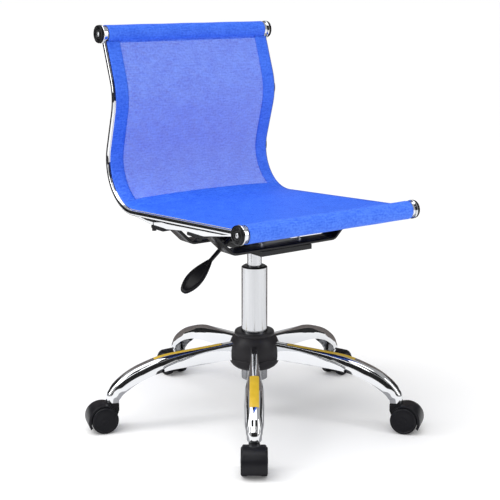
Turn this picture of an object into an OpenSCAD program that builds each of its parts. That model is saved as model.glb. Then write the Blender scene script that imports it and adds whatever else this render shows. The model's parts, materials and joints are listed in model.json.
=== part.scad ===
// Armless swivel office chair: a one-piece mesh sling held between two bent side rails,
// on a gas-lift column and a five-arm base with twin-wheel castors.
// Origin: on the floor under the column. +Z is up, the sitter faces -Y, +X is the sitter's left.

/* [Seat and back] */
// Width over the end caps of the rolls
overall_w = 400; // [340:5:480]
// Height of the front roll's axis at the lowest setting
front_h = 422; // [410:2:520]
// Reach of the front roll's axis, forward of the column
front_reach = 224; // [190:2:280]
// Fall of the seat towards the back, in degrees
seat_tilt = 3.2; // [0:0.2:6]
// How far the lumbar corner of the side profile lies behind the column
lumbar_back = 190; // [150:2:240]
// Height of the lumbar corner of the side profile
lumbar_h = 615; // [590:5:720]
// Height of the top roll's axis
top_h = 732; // [700:2:880]
// Forward lean of the lower back, in degrees
lower_lean = 17; // [8:1:22]
// Backward lean of the upper back, in degrees
upper_lean = 19.5; // [8:0.5:26]
// Radius of the bend between seat and back, at the rail's middle
bend_r = 88; // [60:2:110]
// Radius of the lumbar bend, at the rail's middle
lumbar_r = 102; // [60:2:160]

/* [Side rails] */
// Width of a rail, side to side
rail_w = 8; // [7:0.5:14]
// Depth of a rail, square to the fabric
rail_d = 11; // [9:0.5:18]
// Depth of the web under the seat part of a rail
web_d = 9.5; // [6:0.5:16]
// Diameter of the eye at each end of a rail
eye_d = 28; // [22:1:34]

/* [Rolls and fabric] */
// Outside diameter of a roll tube
roll_d = 30; // [24:1:38]
// Wall of a roll tube
roll_wall = 1.5; // [1:0.5:3]
// Thickness of the mesh
mesh_t = 2; // [1:0.5:3]
// How far into the bend the seat's second layer of mesh runs, in degrees
seam_turn = 28; // [10:1:60]
// Diameter of an end cap
cap_d = 35; // [30:1:44]
// Thickness of an end cap with its chrome washer
cap_t = 8.5; // [7:0.5:14]

/* [Under the seat] */
// Width of a cross-bar, front to back
bar_w = 44; // [30:2:60]
// Thickness of a cross-bar
bar_t = 6; // [4:0.5:9]
// Drop of the cross-bars' middles below the front roll's axis
bar_drop = 70; // [56:2:84]
// Distance of the front cross-bar ahead of the column
front_bar = 80; // [60:2:100]
// Distance of the rear cross-bar behind the column
rear_bar = 42; // [36:2:80]
// Width of the mechanism plate
plate_w = 116; // [90:2:130]
// Depth of the mechanism plate's skirt
plate_skirt = 9; // [8:1:22]

/* [Lever] */
// Distance of the lever's pivot from the column's middle
lever_pivot = 36; // [32:1:44]
// Diameter of the lever rod
lever_d = 8; // [6:0.5:10]
// Fall of the lever below level, in degrees
lever_fall = 40; // [30:1:50]
// Length of the sloping rod up to the paddle
lever_len = 92; // [70:2:110]
// Length of the paddle
paddle_len = 82; // [60:2:100]
// Width of the paddle
paddle_w = 34; // [24:1:44]

/* [Column] */
// Outside diameter of the column tube
tube_d = 50; // [44:1:60]
// Height of the column tube's top
tube_top = 297; // [280:1:310]
// Diameter of the gas cylinder
cyl_d = 28; // [26:1:32]
// Diameter of the piston rod
rod_d = 10; // [8:1:12]

/* [Base] */
// Radius from the column to a castor's pivot
base_r = 283; // [240:2:340]
// Height of an arm's top at the hub
arm_top = 152; // [144:1:170]
// Height of an arm at the hub
arm_h = 34; // [26:1:38]
// Width of an arm at the hub
arm_w = 17; // [14:1:22]
// Width of an arm over its outer half
arm_wide = 35; // [28:1:44]
// Wall of an arm
arm_wall = 2.5; // [1.5:0.5:4]
// Diameter of the hub cover
hub_d = 100; // [90:2:130]

/* [Castors] */
// Diameter of a castor wheel
wheel_d = 51; // [44:1:54]
// Width over the two wheels of a castor
castor_w = 47; // [42:1:60]
// Width of one wheel
wheel_w = 13; // [9:0.5:16]
// Distance of the axle behind the swivel axis
trail = 17; // [12:1:22]
// Diameter of a castor stem
stem_d = 11; // [9:1:12]
// Diameter of a castor axle
axle_d = 6; // [5:0.5:8]

/* [Hidden] */

$fn = 64;
fit = 0.05;             // radial clearance of a shaft in its bore
gap = 0.3;              // clearance between pieces that only lie beside each other
seat_clear = 0.7;       // clearance of a castor wheel to its hood

// Side profile, as points [y, z] and headings in degrees
function dir(a) = [cos(a), sin(a)];
seat_heading = -seat_tilt;
low_heading = 90 + lower_lean;
top_heading = 90 - upper_lean;
front_axis = [-front_reach, front_h];
top_axis = [lumbar_back + (top_h - lumbar_h) * tan(upper_lean), top_h];
lumbar_corner = [lumbar_back, lumbar_h];
corner_y = (lumbar_back + (lumbar_h - front_h + front_reach * tan(seat_tilt)) * tan(lower_lean))
    / (1 - tan(seat_tilt) * tan(lower_lean));
seat_corner = [corner_y, front_h - (corner_y + front_reach) * tan(seat_tilt)];
bend_turn = low_heading - seat_heading;
lumbar_turn = low_heading - top_heading;
bend_run = bend_r * tan(bend_turn / 2);
lumbar_run = lumbar_r * tan(lumbar_turn / 2);
seat_len = norm(seat_corner - front_axis) - bend_run;
low_len = norm(lumbar_corner - seat_corner) - bend_run - lumbar_run;
bend_start = front_axis + dir(seat_heading) * seat_len;
bend_mid = bend_start + dir(seat_heading + 90) * bend_r;
low_start = bend_mid + dir(low_heading - 90) * bend_r;
lumbar_start = low_start + dir(low_heading) * low_len;
lumbar_mid = lumbar_start + dir(low_heading - 90) * lumbar_r;

// Rails, rolls and fabric
rail_out = overall_w / 2 - cap_t;
rail_in = rail_out - rail_w;
rail_mid = rail_out - rail_w / 2;
screw_d = 6;
pocket_d = roll_d + 2 * mesh_t + 2 * gap;
mesh_off = rail_d / 2 + gap + mesh_t / 2;
mesh_end = sqrt(pow(pocket_d / 2 + gap, 2) - pow(mesh_off - mesh_t / 2, 2));
washer_t = 2.5;
plug_len = 22;
plug_d = 6;

// Cross-bars and mechanism
function rail_under(y) = front_h - (y + front_reach) * tan(seat_tilt) - rail_d / 2 / cos(seat_tilt);
bar_z = front_h - bar_drop;
bar_slope = 44;
bar_bend = 14;
foot_len = 24;
bolt_d = 5;
bolt_head_d = 9.2;
bolt_head_t = 4;
bolt_past = 6;          // how far a bolt's end stands past its nut or into its web
front_foot_z = rail_under(-front_bar) - web_d;
rear_foot_z = rail_under(rear_bar) - web_d - bar_w / 2 * tan(seat_tilt);
plate_t = 3;
plate_y = [-front_bar - bar_w / 2, rear_bar + bar_w / 2];
plate_bolt_x = plate_w / 2 - 14;
cup_d = 42;
cup_top = bar_z + 20;
cup_wall = 4;
cup_set = 1;
cyl_top = cup_top - 2;
cyl_bore = cyl_d - 6;
lever_y = -8;
lever_z = cup_top + 4;
lever_pin_d = 6;
lever_hub_d = 14;
lever_hub_w = 22;
tongue_t = 5;
tongue_past = 4;        // how far the lever's tongue reaches past the column's middle
button_d = 6;
button_len = 14;
button_gap = 0.5;
button_bore = 20;       // depth of the button's bore in the cylinder
ear_t = 3;
ear_r = 9;
knee_x = -lever_pivot - 10;
paddle_t = 6;
paddle_roll = -30;
paddle_lap = 14;        // how far the rod goes into the paddle

// Column
lift = 100;
tube_bottom = 75;
tube_wall = 1.5;
tube_bore = tube_d - 2 * tube_wall;
floor_t = 4;
bush_len = 42;
bush_lip = 2.5;
bearing_h = 7;
bearing_d = 28;
ball_d = 3;
balls = 12;
clip_t = 2;
clip_d = rod_d + 8;
rod_past = 3;           // how far the rod stands out below its clip
cyl_bottom = tube_bottom + floor_t + bearing_h + 26;
guide_len = 12;
head_len = 10;
head_z = cyl_bottom + lift + guide_len + 6;
cyl_bore_top = head_z + head_len + 40;
sleeve_d = tube_d + 8;
sleeve_z = [98, arm_top + 12];

// Base arms: the top and the underside as [r, z] corners, each with the radius of its bend
arm_start = sleeve_d / 2 - 1;
arm_end = base_r + 11;
socket_z = wheel_d + 5;
arm_low = arm_top - arm_h;
arm_upper = [[arm_start, arm_top, 0], [base_r - 93, arm_top - 15, 120], [base_r - 33, arm_top - 37, 60],
    [arm_end, socket_z + 24, 22], [arm_end, socket_z, 0]];
arm_lower = [[base_r - 12, socket_z, 0], [base_r - 12, socket_z + 8, 10], [base_r - 45, arm_low - 22, 50],
    [base_r - 93, arm_low - 5, 100], [arm_start, arm_low, 0]];
socket_r = 10.5;
first_arm = -126;
label_t = 0.4;
socket_depth = 20;
hood_over = 4.5;        // how far the hood stands out past the wheels
hood_r = wheel_d / 2 + hood_over;
hood_gap = 1;
hood_low = 20;          // height of the fender's lower edge
core_low = 18;
stem_low = 22;          // height of the stem's lower end in the hood
hood_top = socket_z - hood_gap;
wheel_rim = 4;
wheel_dish = 3;
wheel_boss_d = 20.4;
wheel_cap = 2;
hub_part = arm_low + 2;
hub_curl = 5;           // how far the lower cover draws in under its rim
collar_d = tube_d + 27;
cover_t = 2.5;

// The points of a bend of radius r at corner b, between the directions of a and c
function bend(a, b, c, r, n = 6) =
    let (u = (a - b) / norm(a - b), w = (c - b) / norm(c - b),
         half = acos(u * w) / 2,
         mid = b + (u + w) / norm(u + w) * r / sin(half),
         s = b + u * r / tan(half) - mid,
         e = b + w * r / tan(half) - mid,
         from = atan2(s[1], s[0]),
         turn = (atan2(e[1], e[0]) - from + 540) % 360 - 180)
    [for (i = [0 : n]) mid + r * dir(from + turn * i / n)];

// A line of [x, y, radius] corners as points, with each inner corner bent
function bent_line(c, n = 6) =
    let (last = len(c) - 1, p = [for (q = c) [q[0], q[1]]])
    concat([p[0]], [for (i = [1 : last - 1]) each bend(p[i - 1], p[i], p[i + 1], c[i][2], n)], [p[last]]);

// Stands a [y, z] outline up across the chair, from x to x + w
module across(x, w) {
    translate([x, 0, 0])
        rotate([90, 0, 90])
            linear_extrude(w)
                children();
}

// Points of an arc of radius r about mid, over a turn from an angle
function arc(mid, r, from, turn, n = 16) = [for (i = [0 : n]) mid + r * dir(from + turn * i / n)];

// Stretches of the side profile at an offset towards the sitter: a straight runs between two of them
function seat_line(off, skip = 0) = [front_axis + dir(seat_heading) * skip + dir(seat_heading + 90) * off];
function bend_line(off, from, turn) = arc(bend_mid, bend_r - off, seat_heading - 90 + from, turn);
function back_line(off, skip = 0) = concat(
    arc(lumbar_mid, lumbar_r + off, low_heading + 90, -lumbar_turn),
    [top_axis - dir(top_heading) * skip + dir(top_heading + 90) * off]);

// A band between two lines that run the same way
module band(line, other) {
    polygon(concat(line, [for (i = [len(other) - 1 : -1 : 0]) other[i]]));
}

// A pin along X from x0 to x1 about [y, z]
module x_pin(d, x0, x1, at) {
    translate([x0, at[0], at[1]])
        rotate([0, 90, 0])
            cylinder(d = d, h = x1 - x0);
}

// An eye or washer along X with a hole through it
module x_ring(d, hole, x0, x1, at) {
    difference() {
        x_pin(d, x0, x1, at);
        x_pin(hole, x0 - 1, x1 + 1, at);
    }
}

module both_sides() {
    children();
    mirror([1, 0, 0])
        children();
}

function rail_line(off) = concat(seat_line(off), bend_line(off, 0, bend_turn), back_line(off));

// Rail on the +X side
module rail() {
    foot = bar_w / 2 + 4;
    difference() {
        union() {
            across(rail_in, rail_w)
                band(rail_line(rail_d / 2), rail_line(-rail_d / 2));
            x_pin(eye_d, rail_in, rail_out, front_axis);
            x_pin(eye_d, rail_in, rail_out, top_axis);
            across(rail_in, rail_w)
                polygon([bend_start, [rear_bar + foot, rear_foot_z], [rear_bar - foot, rear_foot_z],
                    [-front_bar + foot, front_foot_z], [-front_bar - foot, front_foot_z],
                    [-front_reach + 10, rail_under(-front_reach + 10) + 1], front_axis]);
        }
        x_pin(screw_d + 2 * gap, rail_in - 1, rail_out + 1, front_axis);
        x_pin(screw_d + 2 * gap, rail_in - 1, rail_out + 1, top_axis);
        for (p = rail_plug_places)
            x_pin(plug_d, rail_out - 3, rail_out + 1, p);
        for (b = foot_bolts)
            translate([rail_mid, b[0], b[1] - 1])
                cylinder(d = bolt_d, h = 12);
    }
}

// Where the plugs of a rail and the bolts of its feet go, as [y, z]
rail_plug_places = [lumbar_mid + dir(low_heading + 90 - lumbar_turn / 2) * lumbar_r,
    bend_mid + dir(low_heading - 90 - 8) * bend_r];
foot_bolts = [[rear_bar + bar_w / 2 - 7, rear_foot_z], [-front_bar - bar_w / 2 + 7, front_foot_z]];

module rail_left() {
    color("gainsboro") rail();
}

module rail_right() {
    color("gainsboro") mirror([1, 0, 0]) rail();
}

module rail_plugs() {
    color("black")
        both_sides()
            for (p = rail_plug_places)
                x_pin(plug_d, rail_out - 3, rail_out + 0.5, p);
}

// One roll's tube between the rails
module roll_tube(at) {
    color("silver")
        x_ring(roll_d, roll_d - 2 * roll_wall, -rail_in + fit, rail_in - fit, at);
}

module roll_plugs() {
    color("dimgray")
        both_sides()
            for (at = [front_axis, top_axis])
                x_ring(roll_d - 2 * roll_wall, screw_d, rail_in - plug_len, rail_in - fit, at);
}

// A cap is dished, with a ring standing round the screw
module end_caps() {
    color("black")
        both_sides()
            for (at = [front_axis, top_axis])
                translate([rail_out + washer_t, at[0], at[1]])
                    rotate([0, 90, 0])
                        difference() {
                            cylinder(d1 = cap_d, d2 = cap_d - 3, h = cap_t - washer_t);
                            translate([0, 0, cap_t - washer_t - 2])
                                difference() {
                                    cylinder(d = cap_d * 0.62, h = 3);
                                    cylinder(d = cap_d * 0.44, h = 3);
                                }
                            translate([0, 0, -1])
                                cylinder(d = screw_d + 2 * gap, h = cap_t);
                            translate([0, 0, cap_t - washer_t - 3.5])
                                cylinder(d = screw_d + 5, h = 5);
                        }
}

module cap_washers() {
    color("gainsboro")
        both_sides()
            for (at = [front_axis, top_axis])
                x_ring(cap_d - 0.4, screw_d + 2 * gap, rail_out, rail_out + washer_t, at);
}

module cap_screws() {
    head_x = overall_w / 2 - 3.5;
    color("silver")
        both_sides()
            for (at = [front_axis, top_axis]) {
                x_pin(screw_d, rail_in - plug_len + 4, head_x + 1, at);
                difference() {
                    x_pin(screw_d + 4, head_x, head_x + 3, at);
                    x_pin(3, head_x + 1.4, head_x + 4, at);
                }
            }
}

function mesh_seat_line(off) = concat(seat_line(off, mesh_end), bend_line(off, 0, seam_turn));
function mesh_back_line(off) =
    concat(bend_line(off, seam_turn, bend_turn - seam_turn), back_line(off, mesh_end));

module mesh_seat() {
    color("royalblue")
        across(-rail_mid, 2 * rail_mid)
            band(mesh_seat_line(mesh_off - mesh_t / 2), mesh_seat_line(mesh_off + mesh_t / 2));
}

module mesh_back() {
    color("cornflowerblue")
        across(-rail_mid, 2 * rail_mid)
            band(mesh_back_line(mesh_off - mesh_t / 2), mesh_back_line(mesh_off + mesh_t / 2));
}

module pocket(at) {
    color("royalblue")
        x_ring(pocket_d, pocket_d - 2 * mesh_t, -rail_in + gap, rail_in - gap, at);
}

// The line of a cross-bar's half, from the middle out to the foot, at an offset upwards
function bar_side(foot_z, off) =
    let (rise = foot_z - bar_t / 2 - (bar_z + bar_t / 2),
         x2 = rail_in - foot_len,
         x1 = x2 - rise / tan(bar_slope),
         k = off * tan(bar_slope / 2))
    bent_line([[0, bar_z + bar_t / 2 + off, 0],
        [x1 - k, bar_z + bar_t / 2 + off, bar_bend - off],
        [x2 - k, foot_z - bar_t / 2 + off, bar_bend + off],
        [rail_out - 1, foot_z - bar_t / 2 + off, 0]], 5);

module crossbar(y, foot_z, bolt) {
    top = bar_side(foot_z, bar_t / 2);
    low = bar_side(foot_z, -bar_t / 2);
    half = concat(top, [for (i = [len(low) - 1 : -1 : 0]) low[i]]);
    color([0.1, 0.1, 0.1])
        difference() {
            both_sides()
                translate([0, y + bar_w / 2, 0])
                    rotate([90, 0, 0])
                        linear_extrude(bar_w)
                            polygon(half);
            both_sides() {
                translate([rail_mid, bolt[0], foot_z - bar_t - 1])
                    cylinder(d = bolt_d + 2 * fit, h = bar_t + 2);
                translate([plate_bolt_x, y, bar_z - 1])
                    cylinder(d = bolt_d + 2 * fit, h = bar_t + 2);
            }
        }
}

// Hexagon bolts pointing up from below
module bolt_up(z_head, shank) {
    translate([0, 0, z_head - bolt_head_t])
        cylinder(d = bolt_head_d, h = bolt_head_t, $fn = 6);
    translate([0, 0, z_head - 1])
        cylinder(d = bolt_d, h = shank + 1);
}

module bar_bolts() {
    color("black")
        both_sides()
            for (b = foot_bolts)
                translate([rail_mid, b[0], 0])
                    bolt_up(b[1] - bar_t, bar_t + bolt_past + 4);
}

module plate_bolts() {
    color("silver")
        both_sides()
            for (y = [-front_bar, rear_bar])
                translate([plate_bolt_x, y, 0]) {
                    bolt_up(bar_z - plate_t, plate_t + bar_t + bolt_past);
                    translate([0, 0, bar_z + bar_t])
                        difference() {
                            cylinder(d = bolt_head_d, h = bolt_head_t, $fn = 6);
                            translate([0, 0, -1])
                                cylinder(d = bolt_d + 2 * fit, h = bolt_head_t + 2);
                        }
                }
}

// A pressed plate with a skirt hanging all round it
module mechanism_plate() {
    depth = plate_y[1] - plate_y[0];
    color("dimgray")
        difference() {
            translate([-plate_w / 2, plate_y[0], bar_z - plate_skirt])
                cube([plate_w, depth, plate_skirt]);
            translate([-plate_w / 2 + plate_t, plate_y[0] + plate_t, bar_z - plate_skirt - 1])
                cube([plate_w - 2 * plate_t, depth - 2 * plate_t, plate_skirt - plate_t + 1]);
            translate([0, 0, bar_z - plate_t - 1])
                cylinder(d = cup_d + 2 * fit, h = plate_t + 2);
            for (x = [-plate_bolt_x, plate_bolt_x])
                for (y = [-front_bar, rear_bar])
                    translate([x, y, bar_z - plate_t - 1])
                        cylinder(d = bolt_d + 2 * fit, h = plate_t + 2);
        }
}

module taper_cup() {
    color("gray")
        difference() {
            union() {
                translate([0, 0, bar_z - plate_skirt])
                    cylinder(d = cup_d, h = plate_skirt);
                translate([0, 0, bar_z - plate_t])
                    cylinder(d = cyl_d + 2 * cup_wall, h = cyl_top - cup_set - bar_z + plate_t);
            }
            translate([0, 0, bar_z - plate_skirt - 1])
                cylinder(d = cyl_d + 2 * fit, h = plate_skirt + cup_top - bar_z);
        }
}

module lever_bracket() {
    out = lever_hub_w / 2 + gap + ear_t;
    foot_x = lever_pivot + ear_r;
    back_x = lever_pivot - ear_r;
    color("dimgray")
        difference() {
            union() {
                translate([-foot_x, lever_y - out, bar_z])
                    cube([foot_x - back_x, 2 * out, ear_t]);
                for (y = [lever_y - out, lever_y + out - ear_t])
                    translate([0, y + ear_t, 0])
                        rotate([90, 0, 0])
                            linear_extrude(ear_t) {
                                translate([-foot_x, bar_z])
                                    square([foot_x - back_x, lever_z - bar_z]);
                                translate([-lever_pivot, lever_z])
                                    circle(r = ear_r);
                            }
            }
            translate([-lever_pivot, lever_y + out + 1, lever_z])
                rotate([90, 0, 0])
                    cylinder(d = lever_pin_d + 2 * fit, h = 2 * out + 2);
            translate([0, 0, bar_z - 1])
                cylinder(d = cup_d + 2 * gap, h = ear_t + 2);
        }
}

module lever_pin() {
    long = lever_hub_w + 2 * gap + 2 * ear_t + 2;
    color("silver")
        translate([-lever_pivot, lever_y + long / 2, lever_z])
            rotate([90, 0, 0])
                cylinder(d = lever_pin_d, h = long);
}

// Stands what follows at the lever's knee, with +Z down the sloping rod
module down_lever() {
    translate([knee_x, lever_y, lever_z])
        rotate([0, -90 - lever_fall, 0])
            children();
}

module lever_rod() {
    color("black")
        difference() {
            union() {
                translate([-lever_pivot, lever_y + lever_hub_w / 2, lever_z])
                    rotate([90, 0, 0])
                        cylinder(d = lever_hub_d, h = lever_hub_w);
                translate([-lever_pivot, lever_y - lever_hub_w / 2, lever_z - tongue_t / 2])
                    cube([lever_pivot + tongue_past, lever_hub_w, tongue_t]);
                translate([-lever_pivot, lever_y, lever_z])
                    rotate([0, -90, 0])
                        cylinder(d = lever_d, h = -knee_x - lever_pivot);
                translate([knee_x, lever_y, lever_z])
                    sphere(d = lever_d);
                down_lever()
                    cylinder(d = lever_d, h = lever_len);
            }
            translate([-lever_pivot, lever_y + lever_hub_w, lever_z])
                rotate([90, 0, 0])
                    cylinder(d = lever_pin_d + 2 * fit, h = 2 * lever_hub_w);
        }
}

// A flat leaf, turned about the rod so that its face looks out and forward
module lever_paddle() {
    color("black")
        down_lever()
            rotate([0, 0, paddle_roll])
                difference() {
                    translate([paddle_t / 2, 0, lever_len - paddle_lap])
                        rotate([0, -90, 0])
                            hull() {
                                translate([5, 0, 0])
                                    cylinder(d = lever_d + 5, h = paddle_t, $fn = 32);
                                translate([paddle_len * 0.62, 0, 0])
                                    cylinder(d = paddle_w, h = paddle_t, $fn = 32);
                                translate([paddle_len - paddle_w * 0.36, 0, 0])
                                    cylinder(d = paddle_w * 0.72, h = paddle_t, $fn = 32);
                            }
                    translate([0, 0, lever_len - paddle_lap - 6])
                        cylinder(d = lever_d + 2 * fit, h = paddle_lap + 6 + fit);
                }
}

module release_button() {
    top = lever_z - tongue_t / 2 - button_gap;
    color("silver")
        translate([0, 0, top - button_len])
            cylinder(d = button_d, h = button_len);
}

module gas_cylinder() {
    color("gainsboro")
        difference() {
            translate([0, 0, cyl_bottom])
                cylinder(d = cyl_d, h = cyl_top - cyl_bottom);
            translate([0, 0, cyl_bottom - 1])
                cylinder(d = cyl_bore, h = cyl_bore_top - cyl_bottom + 1);
            translate([0, 0, cyl_top - button_bore])
                cylinder(d = button_d + 2 * fit, h = button_bore + 1);
        }
}

module cylinder_guide() {
    color("dimgray")
        difference() {
            translate([0, 0, cyl_bottom])
                cylinder(d = cyl_bore - 2 * fit, h = guide_len);
            translate([0, 0, cyl_bottom - 1])
                cylinder(d = rod_d + 2 * fit, h = guide_len + 2);
        }
}

module piston_rod() {
    color("silver") {
        translate([0, 0, tube_bottom - clip_t - rod_past])
            cylinder(d = rod_d, h = head_z - tube_bottom + clip_t + rod_past);
        translate([0, 0, head_z])
            cylinder(d = cyl_bore - 2 * fit, h = head_len);
    }
}

module rod_clip() {
    color("silver")
        difference() {
            translate([0, 0, tube_bottom - clip_t - gap])
                cylinder(d = clip_d, h = clip_t);
            translate([0, 0, tube_bottom - clip_t - gap - 1])
                cylinder(d = rod_d + 2 * fit, h = clip_t + 2);
        }
}

// Two races and a ring of balls between them, standing on the tube's floor
module thrust_bearing() {
    low = tube_bottom + floor_t;
    race_t = (bearing_h - ball_d) / 2 + 0.25;
    color("silver") {
        for (z = [low, low + bearing_h - race_t])
            translate([0, 0, z])
                difference() {
                    cylinder(d = bearing_d, h = race_t);
                    translate([0, 0, -1])
                        cylinder(d = rod_d + 2 * fit, h = race_t + 2);
                }
        for (i = [0 : balls - 1])
            rotate([0, 0, i * 360 / balls])
                translate([(bearing_d + rod_d) / 4 + 0.3, 0, low + bearing_h / 2])
                    sphere(d = ball_d, $fn = 24);
    }
}

module column_tube() {
    color("gainsboro")
        difference() {
            translate([0, 0, tube_bottom])
                cylinder(d = tube_d, h = tube_top - tube_bottom);
            translate([0, 0, tube_bottom + floor_t])
                cylinder(d = tube_bore, h = tube_top - tube_bottom);
            translate([0, 0, tube_bottom - 1])
                cylinder(d = rod_d + 2 * fit, h = floor_t + 2);
        }
}

module tube_bush() {
    color([0.12, 0.12, 0.13])
        difference() {
            union() {
                translate([0, 0, tube_top - bush_len])
                    cylinder(d = tube_bore - 2 * fit, h = bush_len);
                translate([0, 0, tube_top])
                    cylinder(d1 = tube_d - 1, d2 = tube_d - 7, h = bush_lip);
            }
            translate([0, 0, tube_top - bush_len - 1])
                cylinder(d = cyl_d + 2 * fit, h = bush_len + bush_lip + 2);
        }
}

module hub_sleeve() {
    color("dimgray")
        difference() {
            translate([0, 0, sleeve_z[0]])
                cylinder(d = sleeve_d, h = sleeve_z[1] - sleeve_z[0]);
            translate([0, 0, sleeve_z[0] - 1])
                cylinder(d = tube_d + 2 * fit, h = sleeve_z[1] - sleeve_z[0] + 2);
        }
}

// Turns what follows to arm k, with +X out along the arm
module at_arm(k) {
    rotate([0, 0, first_arm + 72 * (k - 1)])
        children();
}

function arm_plan(w, wide, end) = [[0, -w / 2], [95, -w / 2], [150, -wide * 0.39], [186, -wide / 2],
    [end, -wide * 0.46], [end, wide * 0.46], [186, wide / 2], [150, wide * 0.39], [95, w / 2], [0, w / 2]];

module arm_shell() {
    side = concat(bent_line(arm_upper, 4), bent_line(arm_lower, 4));
    intersection() {
        translate([0, arm_wide, 0])
            rotate([90, 0, 0])
                linear_extrude(2 * arm_wide)
                    polygon(side);
        linear_extrude(arm_top + 1) {
            polygon(arm_plan(arm_w, arm_wide, base_r - 4));
            translate([base_r - 4, 0])
                circle(d = arm_wide * 0.92);
        }
    }
}

module arm_hollow() {
    roof = bent_line([for (c = arm_upper) [c[0], c[1] - arm_wall, c[2]]], 4);
    body = [for (p = roof) if (p[0] < arm_end - arm_wall && p[1] > socket_z) p];
    side = concat([[arm_start + 8, arm_top - arm_wall]], [for (p = body) if (p[0] > arm_start + 8) p],
        [[arm_end - arm_wall - 3, socket_z + 16], [arm_end - arm_wall - 3, -1], [arm_start + 8, -1]]);
    intersection() {
        translate([0, arm_wide, 0])
            rotate([90, 0, 0])
                linear_extrude(2 * arm_wide)
                    polygon(side);
        translate([0, 0, -2])
            linear_extrude(arm_top + 3) {
                polygon(arm_plan(arm_w - 2 * arm_wall, arm_wide - 2 * arm_wall, base_r - 8));
            }
    }
}

// A pressed channel, open below, with a socket for the castor's stem at its end
module arm(k) {
    color("gainsboro")
        at_arm(k)
            difference() {
                arm_shell();
                difference() {
                    arm_hollow();
                    translate([base_r, 0, -3])
                        cylinder(r = socket_r, h = arm_top);
                }
                translate([base_r, 0, socket_z - 1])
                    cylinder(d = stem_d + 2 * fit, h = socket_depth + 1);
                cylinder(d = sleeve_d + 2 * fit, h = arm_top + 5);
            }
}

// Stickers that follow the tops of the three arms on the lever's side
module arm_labels() {
    line = bent_line([for (c = arm_upper) [c[0], c[1] + fit, c[2]]], 4);
    color("goldenrod")
        for (s = [[1, base_r - 100, base_r - 22, 17], [2, 60, base_r - 76, 11], [5, 60, base_r - 76, 11]])
            at_arm(s[0])
                intersection() {
                    translate([0, s[3] / 2, 0])
                        rotate([90, 0, 0])
                            linear_extrude(s[3])
                                polygon(concat([for (p = line) p], [for (i = [len(line) - 1 : -1 : 0])
                                    line[i] + [0, label_t]]));
                    translate([s[1], -s[3], 0])
                        cube([s[2] - s[1], 2 * s[3], arm_top + 5]);
                }
}

// Room for the arms and the sleeve inside a hub cover
module arm_room() {
    for (k = [1 : 5])
        at_arm(k)
            translate([0, -arm_w / 2 - gap, arm_low - gap - 1])
                cube([hub_d, arm_w + 2 * gap, arm_h + 2 * gap + 1]);
    translate([0, 0, sleeve_z[0] - 1])
        cylinder(d = sleeve_d + 2 * gap, h = sleeve_z[1] - sleeve_z[0] + 2);
    cylinder(d = tube_d + 2 * gap, h = tube_top);
}

module hub_upper_cover() {
    collar = sleeve_z[1] - 8;
    color([0.16, 0.16, 0.17])
        difference() {
            rotate_extrude()
                polygon([[0, hub_part + gap / 2], [hub_d / 2, hub_part + gap / 2], [hub_d / 2, hub_part + 8],
                    [hub_d / 2 - 3, hub_part + 20], [collar_d / 2 + 2, collar - 3], [collar_d / 2, collar],
                    [collar_d / 2, collar + 11], [collar_d / 2 - 3, collar + 14], [0, collar + 14]]);
            arm_room();
            rotate_extrude()
                polygon([[0, hub_part - 1], [hub_d / 2 - cover_t, hub_part - 1],
                    [hub_d / 2 - cover_t, hub_part + 8], [hub_d / 2 - cover_t - 3, hub_part + 19],
                    [collar_d / 2 - cover_t, collar - 3], [0, collar - 3]]);
        }
}

module hub_lower_cover() {
    color([0.16, 0.16, 0.17])
        difference() {
            rotate_extrude()
                polygon([[0, sleeve_z[0] - 4], [sleeve_d / 2 + 1, sleeve_z[0] - 4],
                    [hub_d / 2 - hub_curl, hub_part - 2 * hub_curl], [hub_d / 2, hub_part - gap / 2],
                    [0, hub_part - gap / 2]]);
            arm_room();
            rotate_extrude()
                polygon([[0, sleeve_z[0] - 1], [sleeve_d / 2, sleeve_z[0] - 1],
                    [hub_d / 2 - hub_curl - cover_t, hub_part - 2 * hub_curl],
                    [hub_d / 2 - cover_t, hub_part + 1],
                    [0, hub_part + 1]]);
        }
}

// Turns what follows to castor k: the swivel axis at the origin, +X the way it trails
module at_castor(k) {
    at_arm(k)
        translate([base_r, 0, 0])
            children();
}

// Extrudes an [x, z] outline to width w about the castor's middle
module castor_slab(w) {
    translate([0, w / 2, 0])
        rotate([90, 0, 0])
            linear_extrude(w)
                children();
}

wheel_in = castor_w / 2 - wheel_w;
axle_at = [trail, wheel_d / 2];

module castor_hood(k) {
    core_w = 2 * (wheel_in - seat_clear);
    color([0.13, 0.13, 0.14])
        at_castor(k)
            difference() {
                union() {
                    castor_slab(castor_w - 1)
                        difference() {
                            translate([trail + 2, hood_top - hood_r])
                                circle(r = hood_r);
                            translate(axle_at)
                                circle(d = wheel_d + 2 * seat_clear + 0.2);
                            translate([-2 * wheel_d, -wheel_d])
                                square([4 * wheel_d, wheel_d + hood_low]);
                            translate([-2 * wheel_d, 0])
                                square([2 * wheel_d - 6, wheel_d]);
                        }
                    castor_slab(core_w) {
                        translate(axle_at)
                            circle(d = wheel_d - 7);
                        translate([-stem_d, core_low])
                            square([stem_d + trail, hood_top - core_low]);
                    }
                }
                translate([0, 0, stem_low])
                    cylinder(d = stem_d + 2 * fit, h = hood_top);
                translate([trail, castor_w, wheel_d / 2])
                    rotate([90, 0, 0])
                        cylinder(d = axle_d + 2 * fit, h = 2 * castor_w);
            }
}

// The stem that turns in the arm's socket, and the axle that the wheels turn on
module castor_pins(k) {
    color("silver")
        at_castor(k) {
            translate([0, 0, stem_low])
                cylinder(d = stem_d, h = socket_z + socket_depth - 2 - stem_low);
            translate([trail, castor_w / 2 - 2, wheel_d / 2])
                rotate([90, 0, 0])
                    cylinder(d = axle_d, h = castor_w - 4);
        }
}

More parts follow.
